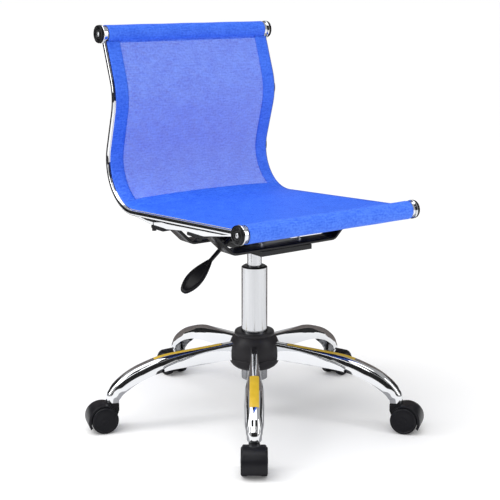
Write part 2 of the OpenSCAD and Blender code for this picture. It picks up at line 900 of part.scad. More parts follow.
// One wheel: a dished disc with a tread; side is 1 or -1
module castor_wheel(k, side) {
    color([0.12, 0.12, 0.13])
        at_castor(k)
            translate([trail, side * (castor_w / 2 - wheel_w / 2), wheel_d / 2])
                rotate([90 * side, 0, 0])
                    difference() {
                        translate([0, 0, -wheel_w / 2])
                            cylinder(d = wheel_d, h = wheel_w);
                        translate([0, 0, wheel_w / 2 - wheel_dish])
                            difference() {
                                cylinder(d = wheel_d - 2 * wheel_rim, h = wheel_dish + 1);
                                cylinder(d = wheel_boss_d, h = wheel_dish + 1);
                            }
                        translate([0, 0, -wheel_w])
                            cylinder(d = axle_d + 2 * fit, h = 2 * wheel_w - wheel_cap);
                    }
}

for (k = [1 : 5]) {
    arm(k);
    castor_hood(k);
    castor_pins(k);
    castor_wheel(k, 1);
    castor_wheel(k, -1);
}
hub_sleeve();
hub_upper_cover();
hub_lower_cover();
arm_labels();
column_tube();
tube_bush();
thrust_bearing();
piston_rod();
rod_clip();
gas_cylinder();
cylinder_guide();
release_button();
mechanism_plate();
taper_cup();
lever_bracket();
lever_pin();
lever_rod();
lever_paddle();
crossbar(-front_bar, front_foot_z, foot_bolts[1]);  // front_crossbar
crossbar(rear_bar, rear_foot_z, foot_bolts[0]);  // rear_crossbar
bar_bolts();
plate_bolts();
rail_left();
rail_right();
rail_plugs();
roll_tube(top_axis);  // top_roll_tube
roll_tube(front_axis);  // front_roll_tube
roll_plugs();
end_caps();
cap_washers();
cap_screws();
mesh_back();
mesh_seat();
pocket(top_axis);  // top_pocket
pocket(front_axis);  // front_pocket
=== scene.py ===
# %% [markdown]
# # An armless swivel chair
# The chair comes in as a fixed frame: every metal and plastic part already has its place and size.
# What Blender adds is the surface a hand would feel: pressed chrome arms with a crown, a stretched
# mesh sling, moulded castors.

# %% The frame
import json
import math

import bmesh
import bpy
import numpy as np
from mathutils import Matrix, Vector


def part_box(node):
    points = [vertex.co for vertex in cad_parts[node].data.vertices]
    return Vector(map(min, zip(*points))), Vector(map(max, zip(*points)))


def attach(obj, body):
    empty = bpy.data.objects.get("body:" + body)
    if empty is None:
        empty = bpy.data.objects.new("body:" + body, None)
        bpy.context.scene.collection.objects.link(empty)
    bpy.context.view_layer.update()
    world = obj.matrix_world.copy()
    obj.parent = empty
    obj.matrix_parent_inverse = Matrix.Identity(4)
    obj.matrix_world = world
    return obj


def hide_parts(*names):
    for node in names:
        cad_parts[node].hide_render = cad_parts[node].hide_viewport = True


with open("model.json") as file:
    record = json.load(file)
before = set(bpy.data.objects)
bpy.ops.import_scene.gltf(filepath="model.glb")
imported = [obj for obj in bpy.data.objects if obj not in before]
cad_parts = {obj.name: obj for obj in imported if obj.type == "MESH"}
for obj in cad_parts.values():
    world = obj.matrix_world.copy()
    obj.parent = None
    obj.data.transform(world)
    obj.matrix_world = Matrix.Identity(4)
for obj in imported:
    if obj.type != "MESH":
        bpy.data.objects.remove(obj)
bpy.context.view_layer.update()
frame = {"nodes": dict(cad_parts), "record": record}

# %% [markdown]
# ## Small helpers for meshes
# Most pieces here are a section carried along a path, or a profile turned about an axis. Both are
# rows of points joined into quads, so one function, skin(), makes them all.

# %% Skin, lathe and slab
MM = 0.001


def heading(degrees):
    """The unit vector at an angle, in a plane."""
    return np.array([math.cos(math.radians(degrees)), math.sin(math.radians(degrees))])


def new_piece(name, points, faces, sharp=35):
    """A mesh object from points and faces, smooth except at edges sharper than an angle."""
    mesh = bpy.data.meshes.new(name)
    mesh.from_pydata([tuple(p) for p in points], [], faces)
    work = bmesh.new()
    work.from_mesh(mesh)
    bmesh.ops.remove_doubles(work, verts=work.verts, dist=1e-6)
    bmesh.ops.recalc_face_normals(work, faces=work.faces)
    work.to_mesh(mesh)
    work.free()
    mesh.shade_smooth()
    mesh.set_sharp_from_angle(angle=math.radians(sharp))
    piece = bpy.data.objects.new(name, mesh)
    bpy.context.scene.collection.objects.link(piece)
    return piece


def skin(rows, round_rows=False, round_row=True, ends=True):
    """Points and faces of rows of points, each row joined to the next."""
    rows = np.asarray(rows, float)
    n, m = rows.shape[:2]
    faces = []
    for i in range(n if round_rows else n - 1):
        for j in range(m if round_row else m - 1):
            a, b = i * m + j, i * m + (j + 1) % m
            c, d = ((i + 1) % n) * m + (j + 1) % m, ((i + 1) % n) * m + j
            faces.append((a, b, c, d))
    if ends and not round_rows:
        faces.append(tuple(range(m)))
        faces.append(tuple((n - 1) * m + j for j in reversed(range(m))))
    return rows.reshape(-1, 3), faces


def combine(parts):
    """Several (points, faces) shells as one."""
    points, faces = [], []
    for p, f in parts:
        start = len(points)
        points.extend(p)
        faces.extend(tuple(start + i for i in face) for face in f)
    return points, faces


def lathe(profile, centre, axis, steps=64):
    """A closed profile of (radius, height) turned about an axis through a centre."""
    axis = Vector(axis).normalized()
    side = axis.orthogonal().normalized()
    other = axis.cross(side)
    rows = []
    for i in range(steps):
        t = 2 * math.pi * i / steps
        out = side * math.cos(t) + other * math.sin(t)
        rows.append([Vector(centre) + out * r + axis * h for r, h in profile])
    return skin(rows, round_rows=True)


def round_corners(corners, radii, steps=6):
    """A closed outline with each corner rounded by an arc."""
    out = []
    n = len(corners)
    for i, (b, r) in enumerate(zip(corners, radii)):
        a, c = np.array(corners[i - 1], float), np.array(corners[(i + 1) % n], float)
        b = np.array(b, float)
        out.extend(bend(a, b, c, r, steps) if r else [b])
    return out


def bend(a, b, c, r, steps=6):
    """The points of an arc of radius r that rounds corner b between a and c."""
    u, w = (a - b) / np.linalg.norm(a - b), (c - b) / np.linalg.norm(c - b)
    half = math.acos(max(-1, min(1, float(u @ w)))) / 2
    mid = b + (u + w) / np.linalg.norm(u + w) * r / math.sin(half)
    s, e = b + u * r / math.tan(half) - mid, b + w * r / math.tan(half) - mid
    start = math.atan2(s[1], s[0])
    turn = (math.atan2(e[1], e[0]) - start + 3 * math.pi) % (2 * math.pi) - math.pi
    return [mid + r * np.array([math.cos(start + turn * i / steps), math.sin(start + turn * i / steps)])
            for i in range(steps + 1)]


def slab(outline, place, thick, edge, steps=3):
    """An outline of (a, b) points made thick about its middle, with rounded rims.

    place(a, b, h) gives a point in space for a place on the outline and a height over the middle."""
    outline = np.array(outline, float)
    before, after = np.roll(outline, 1, 0), np.roll(outline, -1, 0)
    along = after - before
    along /= np.linalg.norm(along, axis=1)[:, None]
    inward = np.stack([-along[:, 1], along[:, 0]], 1)
    area = float(np.sum(outline[:, 0] * after[:, 1] - after[:, 0] * outline[:, 1]))
    inward *= 1 if area > 0 else -1
    rows = []
    for side in (-1, 1):
        for i in range(steps + 1):
            t = math.pi / 2 * (i / steps if side > 0 else 1 - i / steps)
            ring = outline + inward * edge * (1 - math.cos(t))
            h = side * (thick / 2 - edge + edge * math.sin(t))
            rows.append([place(a, b, h) for a, b in ring])
    return skin(rows)


def finish_piece(piece, material, body, stands_for=()):
    """Gives a piece its finish and its body, and hides the plain nodes that it stands for."""
    piece.data.materials.clear()
    piece.data.materials.append(material)
    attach(piece, body)
    if stands_for:
        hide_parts(*stands_for)
    print(piece.name, "on", body, len(piece.data.polygons), "faces")
    return piece


# %% [markdown]
# ## Shader arithmetic
# A finish is worked out from a few masks. Wire lets a socket stand in an expression, so that
# 1 - mask or 0.3 * grain adds the Math nodes by itself. Finish.node() adds any other node.

# %% Wire and Finish
class Wire:
    """A node's output that can be used in arithmetic on values."""

    def __init__(self, finish, socket):
        self.finish, self.socket = finish, socket

    def _math(self, operation, *values):
        return self.finish.node("Math", {"operation": operation}, dict(enumerate(values)))

    def __add__(self, other):
        return self._math("ADD", self, other)

    def __sub__(self, other):
        return self._math("SUBTRACT", self, other)

    def __rsub__(self, other):
        return self._math("SUBTRACT", other, self)

    def __mul__(self, other):
        return self._math("MULTIPLY", self, other)

    __radd__, __rmul__ = __add__, __mul__

    def sine(self):
        return self._math("SINE", self)

    def above(self, level):
        return self._math("GREATER_THAN", self, level)


class Finish:
    """A material, built node by node."""

    def __init__(self, name):
        self.material = bpy.data.materials.new(name)
        self.material.use_nodes = True
        self.tree = self.material.node_tree
        self.tree.nodes.clear()

    def node(self, kind, settings=None, sockets=None, output=0):
        made = self.tree.nodes.new("ShaderNode" + kind)
        for key, value in (settings or {}).items():
            if key == "stops":
                ramp = made.color_ramp
                for i, (at, colour) in enumerate(value):
                    stop = ramp.elements[i] if i < 2 else ramp.elements.new(at)
                    stop.position, stop.color = at, (*colour, 1)
            else:
                setattr(made, key, value)
        for key, value in (sockets or {}).items():
            if isinstance(value, Wire):
                self.tree.links.new(value.socket, made.inputs[key])
            else:
                made.inputs[key].default_value = value
        return Wire(self, made.outputs[output]) if made.outputs else None

    def place(self, output="Object"):
        return self.node("TexCoord", output=output)

    def noise(self, scale, detail=3, rough=0.5, vector=None, output="Fac"):
        sockets = {"Scale": scale, "Detail": detail, "Roughness": rough, "Vector": vector or self.place()}
        return self.node("TexNoise", {}, sockets, output)

    def mix(self, factor, a, b):
        return self.node("Mix", {"data_type": "RGBA"}, {0: factor, 6: a, 7: b}, output=2)

    def bump(self, height, strength, distance):
        return self.node("Bump", {}, {"Height": height, "Strength": strength, "Distance": distance})

    def done(self, **sockets):
        """Ends the material in a Principled shader; names use _ for the space in a socket's name."""
        named = {key.replace("_", " "): value for key, value in sockets.items()}
        shader = self.node("BsdfPrincipled", {}, named)
        self.node("OutputMaterial", {}, {"Surface": shader})
        print("finish", self.material.name, len(self.tree.nodes), "nodes")
        return self.material


# %% [markdown]
# ## Chrome
# Plated steel is a mirror with a faint haze: fingerprints and polish marks change its roughness by
# a few hundredths. The plating also follows small waves in the pressed steel under it.

# %% Chrome and zinc
def make_chrome():
    f = Finish("polished_chrome")
    haze = f.noise(14, 4)
    smudge = f.noise(90, 2)
    tone = f.mix(haze, (0.70, 0.71, 0.73, 1), (0.80, 0.81, 0.83, 1))
    wave = f.bump(f.noise(35, 1), 0.06, 0.002)
    return f.done(Base_Color=tone, Metallic=1.0, Roughness=0.03 + 0.05 * haze * smudge, Normal=wave)


def make_zinc():
    f = Finish("zinc_plated_steel")
    grain = f.noise(420, 3)
    tone = f.mix(f.noise(60, 2), (0.50, 0.51, 0.53, 1), (0.66, 0.67, 0.68, 1))
    return f.done(Base_Color=tone, Metallic=1.0, Roughness=0.26 + 0.2 * grain,
                  Normal=f.bump(grain, 0.15, 0.0004))


def make_satin():
    """The drawn tube's chrome is finer ground lengthwise, so its reflections are soft upright bands."""
    f = Finish("satin_chrome")
    x, y, z = (f.node("SeparateXYZ", {}, {0: f.place()}, output=i) for i in (0, 1, 2))
    lines = f.noise(1, 2, vector=f.node("CombineXYZ", {}, {0: x * 900.0, 1: y * 900.0, 2: z * 6.0}))
    tone = f.mix(lines, (0.52, 0.53, 0.55, 1), (0.70, 0.71, 0.73, 1))
    return f.done(Base_Color=tone, Metallic=1.0, Roughness=0.16 + 0.1 * lines,
                  Normal=f.bump(lines, 0.1, 0.0002))


chrome, satin, zinc = make_chrome(), make_satin(), make_zinc()

# %% [markdown]
# ## Blacks
# Three blacks lie side by side: powder-coated steel with a soft orange peel, moulded plastic with
# a fine spark-eroded grain, and the castor wheels' smoother nylon.

# %% Black paint and plastics
def make_black(name, tone, rough, grain_scale, grain_depth, coat=0.0):
    f = Finish(name)
    grain = f.noise(grain_scale, 2)
    dust = f.noise(25, 4)
    light = tuple(min(1, 1.7 * c + 0.004) for c in tone)
    colour = f.mix(dust * 0.8, (*tone, 1), (*light, 1))
    return f.done(Base_Color=colour, Roughness=rough + 0.12 * dust, Coat_Weight=coat, Specular_IOR_Level=0.2,
                  Normal=f.bump(grain, 0.35, grain_depth))


black_paint = make_black("powder_coat_black", (0.006, 0.006, 0.007), 0.24, 500, 0.0002, 0.2)
black_plastic = make_black("moulded_black", (0.016, 0.015, 0.017), 0.33, 1600, 0.00012)
hood_plastic = make_black("castor_black", (0.006, 0.006, 0.008), 0.30, 1400, 0.0001)
cap_plastic = make_black("cap_black", (0.004, 0.004, 0.005), 0.16, 1200, 0.00005)
wheel_nylon = make_black("wheel_nylon", (0.006, 0.006, 0.008), 0.28, 900, 0.0001)

# %% [markdown]
# ## Mesh cloth
# The sling is a coated polyester mesh. Its weft shows as fine level ribs and its warp as thinner
# upright ones. Where it is one layer thick, light comes through the gaps, and where it is hemmed
# The cloth's own map runs in metres, across and along. On the seat, the faces that look down get a painted
# shade of dark navy.

# %% Mesh materials
def make_mesh(name, colour, deep, see_through=0, shaded_underside=False, rib=2.2 * MM):
    f = Finish(name)
    across, along = (f.node("SeparateXYZ", {}, {0: f.place("UV")}, output=i) for i in (0, 1))
    weft = (along * (2 * math.pi / rib)).sine() * 0.5 + 0.5
    warp = (across * (2 * math.pi / (rib * 0.8))).sine() * 0.5 + 0.5
    thread = weft * 0.65 + warp * 0.35
    cloud = f.noise(30, 3, vector=f.place("UV"))
    streak = f.noise(1, 2, vector=f.node("CombineXYZ", {}, {0: across * 60.0, 1: along * 380.0}))
    fleck = f.noise(230, 2, vector=f.place("UV"))
    shade = (thread * 0.2 + cloud * 0.15 + streak * 0.3 + fleck * 0.35 - 0.5) * 4.0 + 0.5
    tone = f.mix(shade, (*deep, 1), (*colour, 1))
    if shaded_underside:
        # Painted shade: faces whose normal points down are coloured dark navy, so the seat's underside looks
        # as if it lies in shade.
        under = (0 - f.node("SeparateXYZ", {}, {0: f.place("Normal")}, output=2)).above(0.4)
        tone = f.mix(under, tone, (0.004, 0.010, 0.070, 1))
    values = {"Base_Color": tone, "Roughness": 0.62 - 0.12 * thread, "Normal": f.bump(thread, 0.3, 0.0005),
              "Specular_IOR_Level": 0.2}
    if see_through:
        values["Alpha"] = (1 - see_through) + (thread - 0.5) * 0.25
    return f.done(**values)


cloth_blue, cloth_deep = (0.070, 0.235, 1.0), (0.010, 0.085, 0.72)
mesh_open = make_mesh("mesh_single", (0.110, 0.270, 1.0), (0.0, 0.050, 0.66), 0.13)
mesh_seat = make_mesh("mesh_double", cloth_blue, cloth_deep, shaded_underside=True)
mesh_roll = make_mesh("mesh_roll", (0.105, 0.275, 1.0), (0.025, 0.120, 0.80))
mesh_hem = make_mesh("mesh_hem", (0.085, 0.240, 1.0), (0.015, 0.095, 0.70))

# %% [markdown]
# ## The side profile
# Both rails and the cloth follow one line in side view: a straight seat, a bend, a straight that
# leans forward to the lumbar, a counter-bend and a straight upper back. Its ends are the axes of
# the two rolls, which the frame gives.

# %% Side line
def middle(node):
    low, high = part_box(node)
    return (low + high) / 2


seat_tilt, lower_lean, upper_lean = 3.2, 17.0, 19.5
bend_r, lumbar_r = 88 * MM, 102 * MM
lumbar = np.array([190, 615]) * MM
front_axis = np.array(middle("front_pocket").yz)
top_axis = np.array(middle("top_pocket").yz)
roll_r = (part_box("front_pocket")[1].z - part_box("front_pocket")[0].z) / 2
rail_lo, rail_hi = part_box("rail_left")
rail_w = rail_hi.x - rail_lo.x
rail_mid = (rail_hi.x + rail_lo.x) / 2
rail_d = 11 * MM

turns = (-seat_tilt, 90 + lower_lean, 90 - upper_lean)
tilt, lean = math.tan(math.radians(seat_tilt)), math.tan(math.radians(lower_lean))
corner_y = (lumbar[0] + (lumbar[1] - front_axis[1] - front_axis[0] * tilt) * lean) / (1 - tilt * lean)
corner = np.array([corner_y, front_axis[1] - (corner_y - front_axis[0]) * tilt])
bend_run = bend_r * math.tan(math.radians(turns[1] - turns[0]) / 2)
lumbar_run = lumbar_r * math.tan(math.radians(turns[1] - turns[2]) / 2)
seat_len = np.linalg.norm(corner - front_axis) - bend_run
bend_len = bend_r * math.radians(turns[1] - turns[0])
low_len = np.linalg.norm(lumbar - corner) - bend_run - lumbar_run
lumbar_len = lumbar_r * math.radians(turns[1] - turns[2])
top_len = np.linalg.norm(top_axis - lumbar) - lumbar_run
stretches = np.cumsum([0, seat_len, bend_len, low_len, lumbar_len, top_len])
side_len = stretches[-1]


def side(d, off=0.0):
    """The point [y, z] at a distance along the side line, moved off towards the sitter, and its heading."""
    if d <= stretches[1]:
        at, turn = front_axis + heading(turns[0]) * d, turns[0]
    elif d <= stretches[2]:
        turn = turns[0] + math.degrees((d - stretches[1]) / bend_r)
        mid = front_axis + heading(turns[0]) * seat_len + heading(turns[0] + 90) * bend_r
        at = mid + heading(turn - 90) * bend_r
    elif d <= stretches[3]:
        at, turn = lumbar - heading(turns[1]) * (lumbar_run + stretches[3] - d), turns[1]
    elif d <= stretches[4]:
        turn = turns[1] - math.degrees((d - stretches[3]) / lumbar_r)
        mid = lumbar - heading(turns[1]) * lumbar_run + heading(turns[1] - 90) * lumbar_r
        at = mid + heading(turn + 90) * lumbar_r
    else:
        at, turn = top_axis - heading(turns[2]) * (side_len - d), turns[2]
    return at + heading(turn + 90) * off, turn


print("side line", round(side_len, 4), "m; stretches", np.round(stretches, 4))

# %% [markdown]
# ## Rails
# Each rail is a flat-oval bar, so its section is a stadium with a shallow groove down the front
# face, where the cloth's edge is held. It is swept along the side line. Under the seat a web
# deepens it, and an eye at each end takes the roll's screw.

# %% Rails
def rail_section():
    """The bar's section as (sideways, towards the sitter), from the groove round the outside and back."""
    r, flat = rail_w / 2, rail_d / 2 - rail_w / 2
    front = [(r * math.cos(t), flat + r * math.sin(t)) for t in np.linspace(0, math.pi, 13)]
    back = [(r * math.cos(t), -flat + r * math.sin(t)) for t in np.linspace(math.pi, 2 * math.pi, 13)]
    return [(a, b - (0.8 * MM if abs(a) < 0.9 * MM and b > 0 else 0)) for a, b in front + back]


def sweep_side(section, x, start, end, step=5 * MM):
    """Carries a section along the side line between two distances."""
    rows = []
    for d in np.linspace(start, end, max(2, int((end - start) / step))):
        at, turn = side(d)
        out = heading(turn + 90)
        rows.append([(x + a, at[0] + out[0] * b, at[1] + out[1] * b) for a, b in section])
    return skin(rows)


def web_outline():
    """The web under the seat, as [y, z]: flat where the cross-bars bolt on, and leaf-shaped behind."""
    (rear_lo, rear_hi), (front_lo, front_hi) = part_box("rear_crossbar"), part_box("front_crossbar")
    tail, tip = side(stretches[1] + 20 * MM, -rail_d / 2 + 2 * MM)[0], side(14 * MM, -rail_d / 2 + 1 * MM)[0]
    return round_corners(
        [tip, (front_lo.y - 6 * MM, front_hi.z), (front_hi.y + 6 * MM, front_hi.z),
         (rear_lo.y - 6 * MM, rear_hi.z), (rear_hi.y + 6 * MM, rear_hi.z), tail,
         side(stretches[1] - 30 * MM)[0], side(20 * MM)[0]], [0, 30 * MM, 30 * MM, 30 * MM, 40 * MM, 0, 0, 0])


def make_rail(name, sign, node):
    x = sign * rail_mid
    eye_r = roll_r - 3 * MM
    outline = web_outline()
    low = min(b for a, b in outline)

    def lean_in(a, b, h):
        """The web thins downwards, so its faces look a little at the floor."""
        return (x + h * (0.5 + 0.5 * min(1, (b - low) / (20 * MM))), a, b)

    parts = [sweep_side(rail_section(), x, 0, side_len), slab(outline, lean_in, rail_w - 1.2 * MM, 1.5 * MM)]
    for axis in (front_axis, top_axis):
        edge = 1.2 * MM
        profile = [(4 * MM, -rail_w / 2), (eye_r - edge, -rail_w / 2), (eye_r, -rail_w / 2 + edge),
                   (eye_r, rail_w / 2 - edge), (eye_r - edge, rail_w / 2), (4 * MM, rail_w / 2)]
        parts.append(lathe(profile, (x, *axis), (1, 0, 0)))
    return finish_piece(new_piece(name, *combine(parts)), chrome, "seat", [node])


make_rail("rail_bar_left", 1, "rail_left")
make_rail("rail_bar_right", -1, "rail_right")

# %% [markdown]
# Small black plugs close the groove where the rail's screws are. They are slim ovals that stand a
# little proud of the chrome, so each is a short sweep with round ends.

# %% Rail plugs
def make_rail_plugs():
    parts = []
    for sign in (1, -1):
        for d in (stretches[3] + 0.5 * lumbar_len, stretches[1] + bend_len * 0.86):
            rows = []
            for t in np.linspace(-1, 1, 15):
                at, turn = side(d + t * 11 * MM)
                out = heading(turn + 90)
                fat = max(0.06, math.sqrt(1 - t * t))
                rows.append([(sign * (rail_mid + rail_w / 2 - 1.2 * MM + 1.8 * MM * fat * math.cos(p)),
                              at[0] + out[0] * (2.6 * MM + 2.4 * MM * fat * math.sin(p)),
                              at[1] + out[1] * (2.6 * MM + 2.4 * MM * fat * math.sin(p)))
                             for p in np.linspace(0, 2 * math.pi, 16, endpoint=False)])
            parts.append(skin(rows))
    return finish_piece(new_piece("rail_plug_set", *combine(parts)), black_plastic, "seat",
                        ["rail_plugs"])


make_rail_plugs()

# %% [markdown]
# ## The sling
# One sheet of mesh is stretched from rail to rail. Stretched cloth can't keep a bend's full
# curve between two edges: in a hollow bend it comes forward, over a bulge it sinks back, and on
# the seat it sags under its own weight. So each row of the sheet gets a belly that depends on
# where it lies along the side line, strongest in the middle and nothing at the rails.

# %% Cloth sheets
cloth_off = rail_d / 2 + 0.9 * MM
half_w = rail_mid - 0.5 * MM


def belly(d):
    """How far the cloth's middle stands from the rails' line, towards the sitter."""
    bend_mid, lumbar_mid = (stretches[1] + stretches[2]) / 2, (stretches[3] + stretches[4]) / 2
    return (-5.0 * MM * math.sin(math.pi * min(1, d / stretches[1])) ** 2
            + 9.0 * MM * math.exp(-((d - bend_mid) / (75 * MM)) ** 2)
            - 4.0 * MM * math.exp(-((d - lumbar_mid) / (45 * MM)) ** 2))


def charted_cloth(name, rows, across, along, transposed=False):
    """A sheet from rows of points, with its own map in metres across and along the cloth."""
    points, faces = skin(rows, round_row=False, ends=False)
    mesh = bpy.data.meshes.new(name)
    mesh.from_pydata([tuple(p) for p in points], [], faces)
    chart = mesh.uv_layers.new(name="cloth_metres")
    for loop in mesh.loops:
        row, column = divmod(loop.vertex_index, len(rows[0]))
        i, j = (row, column) if transposed else (column, row)
        chart.data[loop.index].uv = (across[i], along[j])
    mesh.shade_smooth()
    piece = bpy.data.objects.new(name, mesh)
    bpy.context.scene.collection.objects.link(piece)
    return piece


def cloth(name, start, end, left, right, lift, material, thick, columns=41, step=4 * MM):
    """A sheet between two distances along the side line and two sideways places, with its map in metres."""
    ds = np.linspace(start, end, max(3, int((end - start) / step)))
    xs = np.linspace(left, right, columns)
    rows = []
    for d in ds:
        fall = belly(d)
        offs = [cloth_off + lift + fall * (1 - min(1, abs(x) / half_w) ** 2.2) for x in xs]
        rows.append([(x, *side(d, off)[0]) for x, off in zip(xs, offs)])
    piece = charted_cloth(name, rows, xs, ds)
    if thick:
        solid = piece.modifiers.new("thickness", "SOLIDIFY")
        solid.thickness, solid.offset = thick, 0
    piece.data.materials.append(material)
    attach(piece, "seat")
    right - left
    end - start
    print(name, "cut", round(right - left, 3), "by", round(end - start, 3), "m")
    return piece


roll_gap = math.sqrt(max(0, (roll_r + 0.2 * MM) ** 2 - cloth_off ** 2))
seam_d = stretches[1] + bend_r * math.radians(28)
hem_w = 28 * MM
back = cloth("sling_back", seam_d, side_len - roll_gap, -half_w, half_w, 0, mesh_open, 0)
seat = cloth("sling_seat", roll_gap, seam_d + 3 * MM, -half_w, half_w, 0.3 * MM, mesh_seat, 1.2 * MM)
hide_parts("mesh_back")
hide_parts("mesh_seat")
for word, sign in (("left", 1), ("right", -1)):
    edges = sorted([sign * half_w, sign * (half_w - hem_w)])
    cloth("sling_hem_" + word, seam_d, side_len - roll_gap, *edges, 0.7 * MM, mesh_hem, 0.7 * MM, columns=9)

# %% [markdown]
# A pocket of doubled mesh is sewn round each roll. It is drawn tight, with small gathers at its
# ends and a welt where it meets the sling, so it is a tube whose radius varies a little.

# %% Roll pockets
def make_pocket(name, axis, seam_angle, node, material):
    ends = rail_mid - rail_w / 2 - 0.5 * MM
    xs = np.linspace(-ends, ends, 73)
    angles = np.linspace(0, 2 * math.pi, 49)
    rows = []
    rng = np.random.default_rng(7)
    phase = rng.uniform(0, 2 * math.pi, 4)
    for x in xs:
        near_end = math.exp(-((ends - abs(x)) / (14 * MM)) ** 2)
        row = []
        for a in angles:
            gather = 0.25 * MM * near_end * math.sin(9 * a + phase[0]) * math.sin(2.3 * a + phase[1])
            slack = 0.18 * MM * math.sin(x * 61 + phase[2]) * math.sin(2 * a + phase[3])
            from_seam = math.remainder(a - math.radians(seam_angle), 2 * math.pi)
            welt = -0.9 * MM * math.exp(-(from_seam / 0.10) ** 2)
            r = roll_r - 0.35 * MM + gather + slack + welt
            row.append((x, axis[0] + r * math.cos(a), axis[1] + r * math.sin(a)))
        rows.append(row)
    piece = charted_cloth(name, rows, xs, roll_r * angles, transposed=True)
    solid = piece.modifiers.new("thickness", "SOLIDIFY")
    solid.thickness, solid.offset = 1.0 * MM, -1
    finish_piece(piece, material, "seat", [node])
    return piece


make_pocket("pocket_top", top_axis, 250, "top_pocket", mesh_hem)
make_pocket("pocket_front", front_axis, 78, "front_pocket", mesh_roll)

# %% [markdown]
# ## End caps
# Each roll ends in a dished black cap over a chrome washer, with a bright screw in the middle.
# All three are turned parts, so their profiles are turned about the roll's axis.

# %% End caps
cap_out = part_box("end_caps")[1].x
cap_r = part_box("end_caps")[1].z - top_axis[1]


def profile_mm(*pairs):
    return [(r * MM, h * MM) for r, h in pairs]


def make_caps():
    t = (cap_out - rail_hi.x) / MM
    r = cap_r / MM
    caps, washers, screws = [], [], []
    dish = profile_mm((3.2, 2.6), (r - 1.2, 2.6), (r - 0.4, 3.2), (r - 0.4, t - 2.2), (r - 1.0, t - 0.8),
                      (r - 2.4, t), (r - 4.2, t - 0.1), (r - 5.0, t - 1.0), (r - 5.6, t - 1.9),
                      (r - 7.6, t - 1.9), (r - 8.2, t - 1.2), (r - 8.8, t - 0.5), (r - 9.8, t - 0.3),
                      (r - 10.8, t - 0.8), (5.6, t - 2.4), (3.2, t - 2.4))
    ring = profile_mm((3.2, 0.1), (r - 0.9, 0.1), (r, 0.9), (r, 1.8), (r - 0.8, 2.6), (3.2, 2.6))
    head = profile_mm((0.01, t - 3.4), (4.6, t - 3.4), (4.9, t - 2.6), (4.6, t - 1.2), (3.6, t - 0.5),
                      (2.2, t - 0.35), (1.9, t - 0.8), (1.8, t - 1.8), (0.01, t - 1.9))
    for sign in (1, -1):
        for axis in (front_axis, top_axis):
            centre, out = (sign * rail_hi.x, *axis), (sign, 0, 0)
            caps.append(lathe(dish, centre, out))
            washers.append(lathe(ring, centre, out))
            screws.append(lathe(head, centre, out, 32))
    finish_piece(new_piece("cap_dishes", *combine(caps)), cap_plastic, "seat", ["end_caps"])
    finish_piece(new_piece("cap_rings", *combine(washers)), chrome, "seat", ["cap_washers"])
    finish_piece(new_piece("cap_screw_heads", *combine(screws)), zinc, "seat", ["cap_screws"])


make_caps()

# %% [markdown]
# ## Cross-bars
# Two black bars join the rails under the seat and carry the mechanism. They are pressed from
# strip with rolled edges, wider at the feet, so a rounded section follows the bar's line.

# %% Cross-bars
def line_points(corners, radii, steps=8):
    """An open line of corners with arcs, as points."""
    p = [np.array(c, float) for c in corners]
    out = [p[0]]
    for i in range(1, len(p) - 1):
        out.extend(bend(p[i - 1], p[i], p[i + 1], radii[i - 1], steps))
    return out + [p[-1]]


def section_box(width, thick, edge, steps=3):
    """A rounded rectangle about the middle, as (sideways, up)."""
    a, b = width / 2, thick / 2
    return round_corners([(a, b), (-a, b), (-a, -b), (a, -b)], [edge] * 4, steps)


def make_crossbar(name, node):
    low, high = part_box(node)
    y, thick = (low.y + high.y) / 2, 6 * MM
    wide = high.y - low.y
    bottom, foot = low.z + thick / 2, high.z - thick / 2
    x2 = rail_lo.x - 24 * MM
    x1 = x2 - (foot - bottom) / math.tan(math.radians(44))
    half = line_points([(0, bottom), (x1, bottom), (x2, foot), (rail_hi.x - 1.5 * MM, foot)], [16 * MM] * 2)
    line = [(-x, z) for x, z in reversed(half[1:])] + half
    rows = []
    for i, (x, z) in enumerate(line):
        a, b = np.array(line[max(0, i - 1)]), np.array(line[min(len(line) - 1, i + 1)])
        turn = math.atan2(b[1] - a[1], b[0] - a[0])
        neck = 1 - 0.16 * math.exp(-((abs(x) - (x1 + x2) / 2) / (30 * MM)) ** 2)
        rows.append([(x - t * math.sin(turn), y + s, z + t * math.cos(turn))
                     for s, t in section_box(wide * neck, thick, 2.2 * MM)])
    return finish_piece(new_piece(name, *skin(rows)), black_paint, "seat", [node])


make_crossbar("crossbar_front", "front_crossbar")
make_crossbar("crossbar_rear", "rear_crossbar")

# %% [markdown]
# ## Base arms
# An arm is pressed from tube steel into a channel: tall and narrow at the hub, low and wide over
# its outer half, with a crown along its top, and it turns down into a round end over the castor.
# Its section, an upside-down U with a wall, is carried along the arm's top line and changes width
# and depth on the way.

# %% Arms
arm_turn = [-126 + 72 * k for k in range(5)]
arm_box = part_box("arm_4")
arm_top, socket_z = arm_box[1].z, arm_box[0].z
arm_end = arm_box[1].y
base_r = arm_end - 11 * MM
arm_wall = 2.5 * MM
hub_r = 28 * MM
arm_corners = [(hub_r, arm_top), (base_r - 93 * MM, arm_top - 15 * MM), (base_r - 33 * MM, arm_top - 37 * MM),
               (arm_end, socket_z + 24 * MM), (arm_end, socket_z)]
arm_line = line_points(arm_corners, [120 * MM, 60 * MM, 26 * MM], 10)


def soften(p, spread, step=1 * MM):
    """A line with its bends eased over a spread, its two ends kept."""
    run = np.concatenate([[0], np.cumsum(np.linalg.norm(np.diff(p, axis=0), axis=1))])
    even = np.linspace(0, run[-1], int(run[-1] / step))
    p = np.stack([np.interp(even, run, p[:, i]) for i in (0, 1)], 1)
    out = []
    for i in range(len(p)):
        reach = min(int(spread / step), i, len(p) - 1 - i)
        out.append(p[i - reach:i + reach + 1].mean(axis=0))
    return np.array(out)


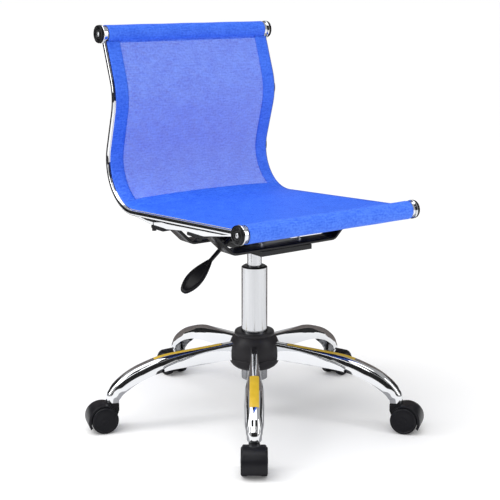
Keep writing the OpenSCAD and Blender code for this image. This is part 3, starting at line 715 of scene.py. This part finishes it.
def along_arm(step=3 * MM):
    """Even steps along the arm's top line: (distance, point, unit heading)."""
    p = soften(np.array(arm_line), 24 * MM)
    run = np.concatenate([[0], np.cumsum(np.linalg.norm(np.diff(p, axis=0), axis=1))])
    out = []
    for d in np.linspace(0, run[-1], int(run[-1] / step)):
        at = np.array([np.interp(d, run, p[:, i]) for i in (0, 1)])
        ahead = np.array([np.interp(min(run[-1], d + step), run, p[:, i]) for i in (0, 1)])
        behind = np.array([np.interp(max(0, d - step), run, p[:, i]) for i in (0, 1)])
        way = (ahead - behind) / np.linalg.norm(ahead - behind)
        out.append((d, at, way))
    return out, run[-1]


arm_steps, arm_len = along_arm()
width_at = ([0, 70 * MM, 125 * MM, 165 * MM, 210 * MM, 262 * MM, arm_len - 20 * MM, arm_len],
            [8.5 * MM, 8.7 * MM, 12.5 * MM, 16.5 * MM, 17.5 * MM, 16.6 * MM, 14.2 * MM, 13 * MM])
depth_at = ([0, 70 * MM, 125 * MM, 180 * MM, 250 * MM, arm_len - 40 * MM, arm_len],
            [34 * MM, 32 * MM, 29 * MM, 26 * MM, 25 * MM, 24 * MM, 22 * MM])


def arm_half(d):
    return float(np.interp(d, *width_at))


def arm_deep(d):
    return float(np.interp(d, *depth_at))


def squareness(d):
    """The arch's exponent: near a box at the hub, near an ellipse over the outer half."""
    return float(np.interp(d, [50 * MM, 130 * MM, 200 * MM], [6.0, 3.2, 2.6]))


def arch_drop(d, t):
    """How far the arm's skin lies below its top line, at a place sideways."""
    n = squareness(d)
    return arm_deep(d) * (1 - max(0, 1 - abs(t / arm_half(d)) ** n) ** (1 / n))


def arm_point(turn, at, way, t, depth):
    """A point of the arm's section in space: t sideways, depth below the top line."""
    down = np.array([way[1], -way[0]])
    r, z = at + down * depth
    c, s = heading(turn)
    return (r * c - t * s, r * s + t * c, z)


def arm_shell(turn):
    rows = []
    for d, at, way in arm_steps:
        w, h, power = arm_half(d), arm_deep(d), 2 / squareness(d)
        arch = [(math.copysign(abs(math.cos(p)) ** power, -math.cos(p)), 1 - math.sin(p) ** power)
                for p in np.linspace(0, math.pi, 33)]
        outer = [(w * t, h * q) for t, q in arch]
        inner = [((w - arm_wall) * t, arm_wall + (h - arm_wall) * q) for t, q in reversed(arch)]
        rows.append([arm_point(turn, at, way, t, q) for t, q in outer + inner])
    return skin(rows)


def make_arms():
    socket = profile_mm((5.6, 0.2), (7.2, 0.2), (8.0, 1.0), (8.0, 14), (5.6, 14))
    sockets = []
    for k, turn in enumerate(arm_turn, 1):
        name = f"arm_pressing_{k}"
        finish_piece(new_piece(name, *arm_shell(turn), sharp=50), chrome, "base", [f"arm_{k}"])
        c, s = heading(turn)
        sockets.append(lathe(socket, (base_r * c, base_r * s, socket_z), (0, 0, 1), 40))
    finish_piece(new_piece("castor_sockets", *combine(sockets)), zinc, "base")


make_arms()

# %% [markdown]
# A plain amber sticker lies on the crown of three arms. It is a thin sheet of printed film that
# follows the metal, so it takes its points from the same section, a fifth of a millimetre up.

# %% Stickers
def make_amber():
    f = Finish("amber_film")
    wear = f.noise(70, 4)
    tone = f.mix(wear, (0.60, 0.38, 0.020, 1), (0.80, 0.54, 0.040, 1))
    return f.done(Base_Color=tone, Roughness=0.32 + 0.2 * wear, Coat_Weight=0.25,
                  Normal=f.bump(f.noise(300, 2), 0.1, 0.0003))


amber = make_amber()


def make_stickers():
    parts = []
    for k, start, end, half in ((0, 148, 236, 8.5), (1, 38, 176, 5.5), (4, 38, 176, 5.5)):
        rows = []
        for d, at, way in arm_steps:
            if start * MM <= d <= end * MM:
                across = [t * half * MM for t in np.linspace(-1, 1, 9)]
                up = [arch_drop(d, t) - 0.25 * MM for t in across]
                over = [arm_point(arm_turn[k], at, way, t, q) for t, q in zip(across, up)]
                under = [arm_point(arm_turn[k], at, way, t, q + 0.2 * MM) for t, q in zip(across, up)]
                rows.append(over + under[::-1])
        parts.append(skin(rows))
    piece = new_piece("arm_stickers", *combine(parts), sharp=60)
    finish_piece(piece, amber, "base", ["arm_labels"])


make_stickers()

# %% [markdown]
# ## Hub cover
# Two plastic mouldings close over the welds in the middle of the base: a dome with a collar above
# and a bowl below, with a fine parting line between them. Both are turned shapes.

# %% Hub cover
def make_hub():
    top = profile_mm((25.6, 170.6), (35.6, 171), (37.6, 170.2), (38.4, 168.4), (38.6, 165.4), (38.4, 163.6),
                     (37.9, 162.8), (38.9, 161.8), (41.6, 158.6), (44.8, 153.4), (47.4, 147), (49.2, 139.6),
                     (50, 132), (50, 121.4), (49.3, 120.4), (30, 120.4), (25.6, 150))
    bowl = profile_mm((30, 119.8), (49.1, 119.8), (49.7, 118.8), (48.8, 113.2), (46.4, 107.6), (42.6, 102.8),
                      (37.6, 99.2), (32, 97.0), (28.6, 96.2), (26, 96.4), (25.6, 98))
    finish_piece(new_piece("hub_dome", *lathe(top, (0, 0, 0), (0, 0, 1), 96)), black_plastic, "base",
                 ["hub_upper_cover"])
    finish_piece(new_piece("hub_bowl", *lathe(bowl, (0, 0, 0), (0, 0, 1), 96)), black_plastic, "base",
                 ["hub_lower_cover"])


make_hub()

# %% [markdown]
# ## Castors
# Two narrow wheels run on one axle, either side of the hood's core. The hood is a fender that
# reaches over the wheels and down behind them, and its crown carries the stem. Each wheel is
# turned: a tread with soft shoulders, a rim, a shallow dish and a hub cap.

# %% Castors
trail = 17 * MM
wheel_lo, wheel_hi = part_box("castor_4_wheel_a")
wheel_r = (wheel_hi.z - wheel_lo.z) / 2
castor_half = max(abs(wheel_lo.x), abs(wheel_hi.x))
wheel_w = wheel_hi.x - wheel_lo.x


def castor_place(turn):
    """Maps (trailing, sideways, up) from the castor's swivel axis into space."""
    c, s = heading(turn)

    def place(a, b, h):
        r = base_r + a
        return (r * c - b * s, r * s + b * c, h)
    return place


def make_wheel(k, turn, side_sign, letter):
    r, w = wheel_r / MM, wheel_w / MM
    face = profile_mm((3.1, -w), (r - 5, -w), (r - 1.6, -w + 0.4), (r - 0.3, -w + 1.8), (r, -w + 3.4),
                      (r, -3.6), (r - 0.4, -1.9), (r - 1.7, -0.6), (r - 3.4, -0.1), (r - 4.2, -0.5),
                      (r - 4.8, -1.1), (r - 8, -1.3), (r - 14, -0.7), (7.2, -0.3), (6.4, -0.5), (5.9, 0.0),
                      (3.0, 0.35), (0.01, 0.4))
    c, s = heading(turn)
    out = (-s * side_sign, c * side_sign, 0)
    centre = Vector(((base_r + trail) * c, (base_r + trail) * s, wheel_r)) + Vector(out) * castor_half
    node = f"castor_{k}_wheel_{letter}"
    piece = new_piece(f"wheel_{k}_{letter}", *lathe(face, centre, out, 72), sharp=40)
    finish_piece(piece, wheel_nylon, node, [node])


def fender_outline():
    """The fender's outline in side view: an outer arc, and an inner arc clear of the wheel."""
    middle_a, middle_b, outer_r = 19.0, 25.2, 29.6
    inner_r = wheel_r / MM + 0.9
    outer = [(middle_a + outer_r * math.cos(t), middle_b + outer_r * math.sin(t))
             for t in np.radians(np.linspace(-29, 152, 37))]
    inner = [(17 + inner_r * math.cos(t), wheel_r / MM + inner_r * math.sin(t))
             for t in np.radians(np.linspace(138, -26, 33))]
    return [(a * MM, b * MM) for a, b in outer + inner]


def core_outline():
    inner_r = wheel_r / MM - 3.6
    arc = [(17 + inner_r * math.cos(t), wheel_r / MM + inner_r * math.sin(t))
           for t in np.radians(np.linspace(-150, 60, 33))]
    neck = [(22, 54.4), (-11, 54.4), (-12.2, 52.6), (-12.2, 40), (-8, 28)]
    return [(a * MM, b * MM) for a, b in arc + neck]


def make_hood(k, turn):
    place = castor_place(turn)
    stand = lambda a, b, h: place(a, h, b)
    core_w = 2 * (castor_half - wheel_w) - 1.4 * MM
    core = slab(core_outline(), stand, core_w, 1.5 * MM)

    def barrel(a, b, h):
        """The fender is a little narrower at its crown than over the wheels."""
        return place(a, h * (1 - 0.11 * max(0, (b - wheel_r) / wheel_r) ** 2), b)

    fender = slab(fender_outline(), barrel, 2 * castor_half - 1.6 * MM, 1.2 * MM)
    points, faces = combine([core, fender])
    piece = new_piece(f"hood_{k}", points, faces, sharp=45)
    finish_piece(piece, hood_plastic, f"castor_{k}", [f"castor_{k}_hood"])


for k, turn in enumerate(arm_turn, 1):
    make_hood(k, turn)
    make_wheel(k, turn, 1, "a")
    make_wheel(k, turn, -1, "b")

# %% [markdown]
# ## Lever paddle
# The paddle is a flat moulded leaf with a raised rim round a shallow dish, turned on the rod to
# meet the fingers. It is built as rings that step in from the outline: edge, rim, dish and middle.

# %% Paddle
leaf_len, leaf_half = 84 * MM, 17 * MM
knee_out, knee_side, rod_out = 46 * MM, 8 * MM, 76 * MM


def leaf_outline(length, steps=56):
    """The leaf as (along, sideways), narrow at the rod and round at the end."""
    out = []
    for t in np.linspace(0, 2 * math.pi, steps, endpoint=False):
        a = (1 - math.cos(t)) / 2
        bulge = 0.40 + 0.60 * math.sin(math.pi * min(1, a / 1.24) ** 1.1)
        out.append((a * length, leaf_half * bulge * math.copysign(abs(math.sin(t)) ** 0.62, math.sin(t))))
    return np.array(out)


def make_paddle():
    fall, roll = math.radians(40), math.radians(-30)
    knee = Vector((-knee_out, -knee_side, middle("lever_pin").z))
    down = Vector((-math.cos(fall), 0, -math.sin(fall)))
    up = Vector((-math.sin(fall), 0, math.cos(fall)))
    face = up * math.cos(roll) + Vector((0, 1, 0)) * math.sin(roll)
    across = -up * math.sin(roll) + Vector((0, 1, 0)) * math.cos(roll)
    root = knee + down * rod_out
    outline = leaf_outline(leaf_len)
    centre = np.array([leaf_len * 0.55, 0])
    steps = [(0.02, -2.0), (0.80, -2.9), (0.95, -2.2), (1.0, -0.6), (1.0, 0.9), (0.965, 2.3), (0.90, 2.9),
             (0.84, 2.5), (0.79, 1.7), (0.5, 1.3), (0.02, 1.2)]
    rows = []
    for share, h in steps:
        rows.append([root + down * float(a) + across * float(b) + face * h * MM
                     for a, b in centre + (outline - centre) * share])
    paddle = new_piece("paddle_leaf", *skin(rows), sharp=60)
    finish_piece(paddle, cap_plastic, "lever", ["lever_paddle"])


make_paddle()

# %% [markdown]
# ## Finishes for the turned and drawn metal
# The column, the pins, the bolts and the mechanism are right as they came, so they only get
# their finishes.

# %% Carried-over parts
keep = {"chrome": chrome, "zinc_steel": zinc, "black_steel": black_paint, "black_plastic": black_plastic,
        "castor_wheel": wheel_nylon, "blue_mesh": mesh_seat, "amber_label": amber}
for part in frame["record"]["subparts"]:
    node = frame["nodes"][part["node"]]
    drawn = part["node"] in ("column_tube", "gas_cylinder")
    for slot in node.material_slots:
        slot.material = satin if drawn else keep[part["material_slot"]]

# %% [markdown]
# ## Floor, lights and camera
# A mirror shows its surroundings, so chrome in an all-white room looks like nothing. Here the sky
# is a mid grey, a soft sun fills the floor evenly, and cards round the set give the chrome something
# to reflect: black and warm ones beside it, a grey one under it. They are hidden from the camera and
# cast no shade, like the flags beside a real set. The floor glows a little, so its shade stays pale.

# %% Floor and cards
view_turn, view_pitch, view_pan = 35.99, 12.951, -0.223
view_far, view_high = 2.1941, 0.8339


def set_point(right, away, up):
    """A point as seen from the camera's side: to the right, away from it and up, from the column."""
    t = math.radians(view_turn)
    return Vector((right * math.cos(t) + away * math.sin(t), -right * math.sin(t) + away * math.cos(t), up))


def plain(name, colour, rough, glow=0.0):
    f = Finish(name)
    tone = f.mix(f.noise(3, 2), (*colour, 1), tuple(min(1, c * 1.02) for c in colour) + (1,))
    return f.done(Base_Color=tone, Roughness=rough, Emission_Color=tone, Emission_Strength=glow)


def card(name, corners, material, seen=True):
    """A flat card through its corners, each (right, away, up)."""
    mesh = bpy.data.meshes.new(name)
    mesh.from_pydata([tuple(set_point(*c)) for c in corners], [], [tuple(range(len(corners)))])
    mesh.materials.append(material)
    flat = bpy.data.objects.new(name, mesh)
    bpy.context.scene.collection.objects.link(flat)
    if not seen:
        flat.visible_camera = flat.visible_diffuse = flat.visible_shadow = False
    return flat


white = plain("studio_white", (0.93, 0.93, 0.93), 0.9, 0.09)
black = plain("studio_black", (0.012, 0.012, 0.012), 0.9)
warm = plain("studio_warm", (0.15, 0.13, 0.12), 0.9)
grey = plain("studio_grey", (0.38, 0.38, 0.39), 0.9)
far = 60
card("floor", [(-far, -far, -0.0005), (far, -far, -0.0005), (far, far, -0.0005), (-far, far, -0.0005)], white)
for word, sign in (("left", -1), ("right", 1)):
    card("flag_back_" + word, [(sign * 0.10, 0.42, 0), (sign * 0.60, 0.42, 0), (sign * 0.60, 0.42, 0.8),
                               (sign * 0.10, 0.42, 0.8)], warm, False)
    card("flag_side_" + word, [(sign * 1.5, 0.15, 0), (sign * 1.5, 2.4, 0), (sign * 1.5, 2.4, 1.1),
                               (sign * 1.5, 0.15, 1.1)], black, False)
    card("flag_high_" + word, [(sign * 1.2, -1.9, 1.7), (sign * 0.2, -1.9, 1.7), (sign * 0.2, -1.2, 2.6),
                               (sign * 1.2, -1.2, 2.6)], black, False)

card("flag_front", [(-2.2, -3, 0.12), (2.2, -3, 0.12), (2.2, -3, 2.3), (-2.2, -3, 2.3)], black, False)
disc_r, disc_z = 0.34, 1.5 * MM
disc = [(disc_r * math.cos(t), disc_r * math.sin(t), disc_z)
        for t in np.linspace(0, 2 * math.pi, 48, endpoint=False)]
card("flag_floor", disc, grey, False)

# %% [markdown]
# The light is one wide sun, low strips at both sides that draw long highlights on the chrome, and
# the grey sky. The camera stands a little above the seat and looks down at the column.

# %% Sky, lamps and camera
world = bpy.data.worlds.new("grey_room")
bpy.context.scene.world = world
world.use_nodes = True
world.node_tree.nodes["Background"].inputs[0].default_value = (1, 1, 1, 1)
world.node_tree.nodes["Background"].inputs[1].default_value = 0.45


def aim(lamp, centre, target):
    lamp.location = centre
    lamp.rotation_euler = (Vector(target) - Vector(centre)).to_track_quat("-Z", "Y").to_euler()
    bpy.context.scene.collection.objects.link(lamp)


sun = bpy.data.lights.new("soft_sun", "SUN")
sun.energy, sun.angle = 1.95, math.radians(70)
aim(bpy.data.objects.new("soft_sun", sun), set_point(-1.0, -1.2, 3.4), (0, 0, 0))
for word, centre, size, power in (("left", set_point(-1.7, -0.5, 1.3), (0.5, 1.6), 12),
                                  ("right", set_point(1.9, -0.9, 1.3), (0.5, 1.6), 9)):
    light = bpy.data.lights.new("strip_" + word, "AREA")
    light.shape, light.size, light.size_y, light.energy = "RECTANGLE", *size, power
    aim(bpy.data.objects.new("strip_" + word, light), centre, (0, 0, 0.35))

camera = bpy.data.objects.new("camera", bpy.data.cameras.new("camera"))
bpy.context.scene.collection.objects.link(camera)
bpy.context.scene.camera = camera
camera.data.lens, camera.data.sensor_width = 84.857, 36
camera.location = set_point(0, -view_far, view_high)
look = set_point(math.sin(math.radians(view_pan)), math.cos(math.radians(view_pan)), 0)
look = look * math.cos(math.radians(view_pitch)) - Vector((0, 0, math.sin(math.radians(view_pitch))))
camera.rotation_euler = look.to_track_quat("-Z", "Y").to_euler()
bpy.context.scene.view_settings.view_transform = "Standard"
print("camera at", [round(v, 4) for v in camera.location])
